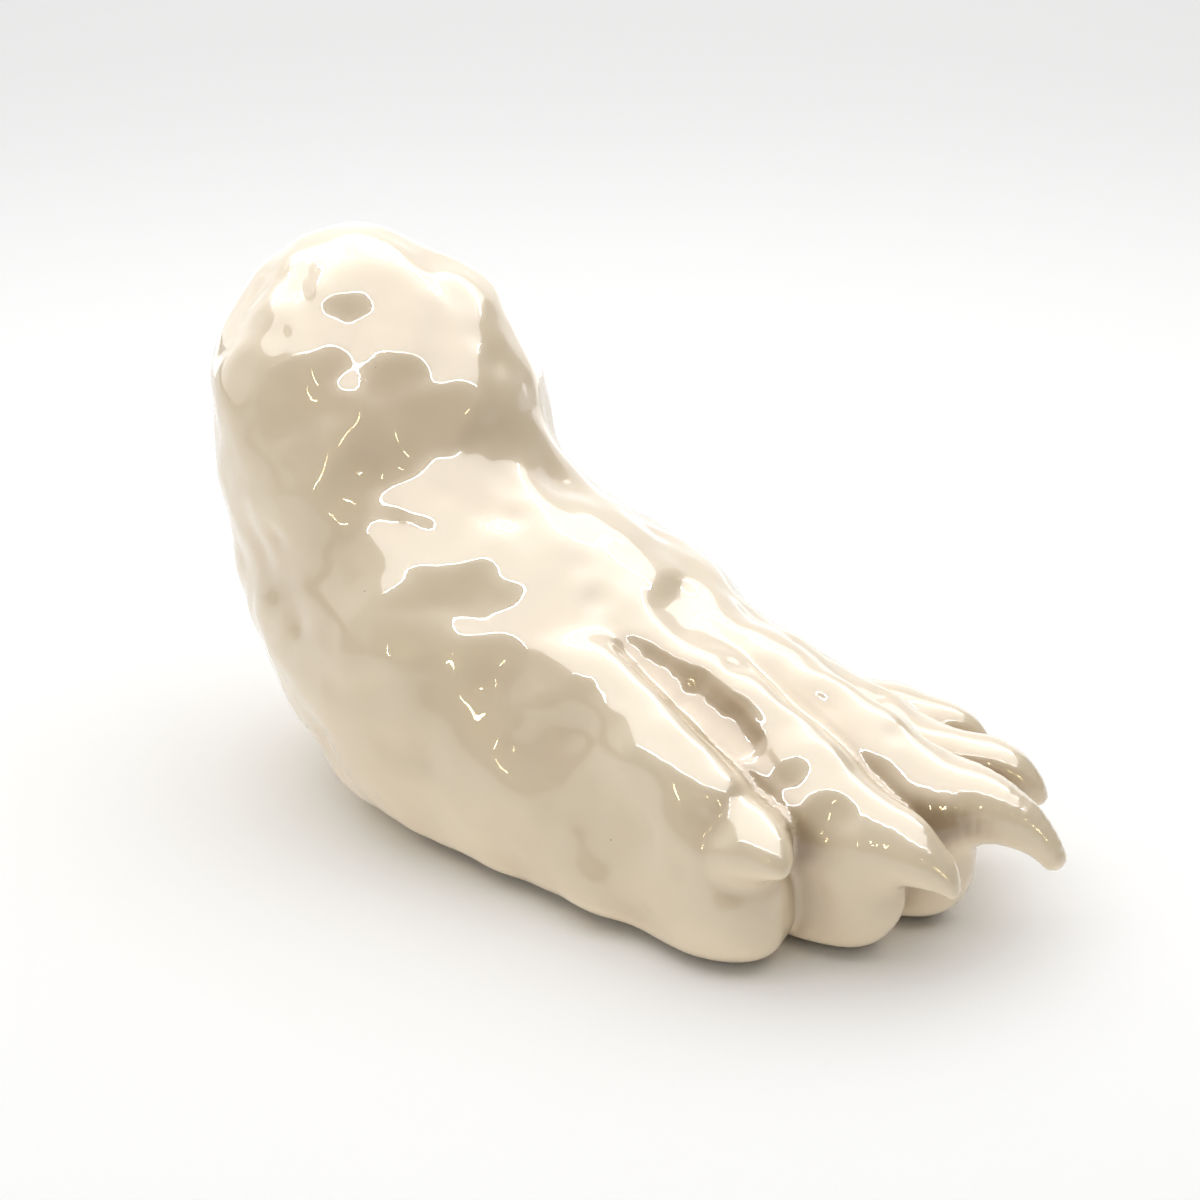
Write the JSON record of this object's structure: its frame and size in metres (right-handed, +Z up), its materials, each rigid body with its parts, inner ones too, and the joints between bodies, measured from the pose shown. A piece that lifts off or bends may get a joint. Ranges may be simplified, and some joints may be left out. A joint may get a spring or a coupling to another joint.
{
  "type": "ceramic bear paw",
  "caption": "Glazed ceramic bear paw: a rounded leg stump on a broad flat-soled foot with clawed toes, modelled by hand and standing on its sole.",
  "frame": {"origin": "on the surface that the sole rests on, under the middle of the paw's box", "axes": "+X forward from the heel to the claws, +Y to the far side of the foot as pictured, +Z up"},
  "size_m": [0.2389, 0.114, 0.1442],
  "materials": {
    "glaze": "clear glossy glaze over a pale putty-coloured ceramic body"
  },
  "bodies": {
    "root": {"bear_paw": "glaze"}
  },
  "joints": []
}
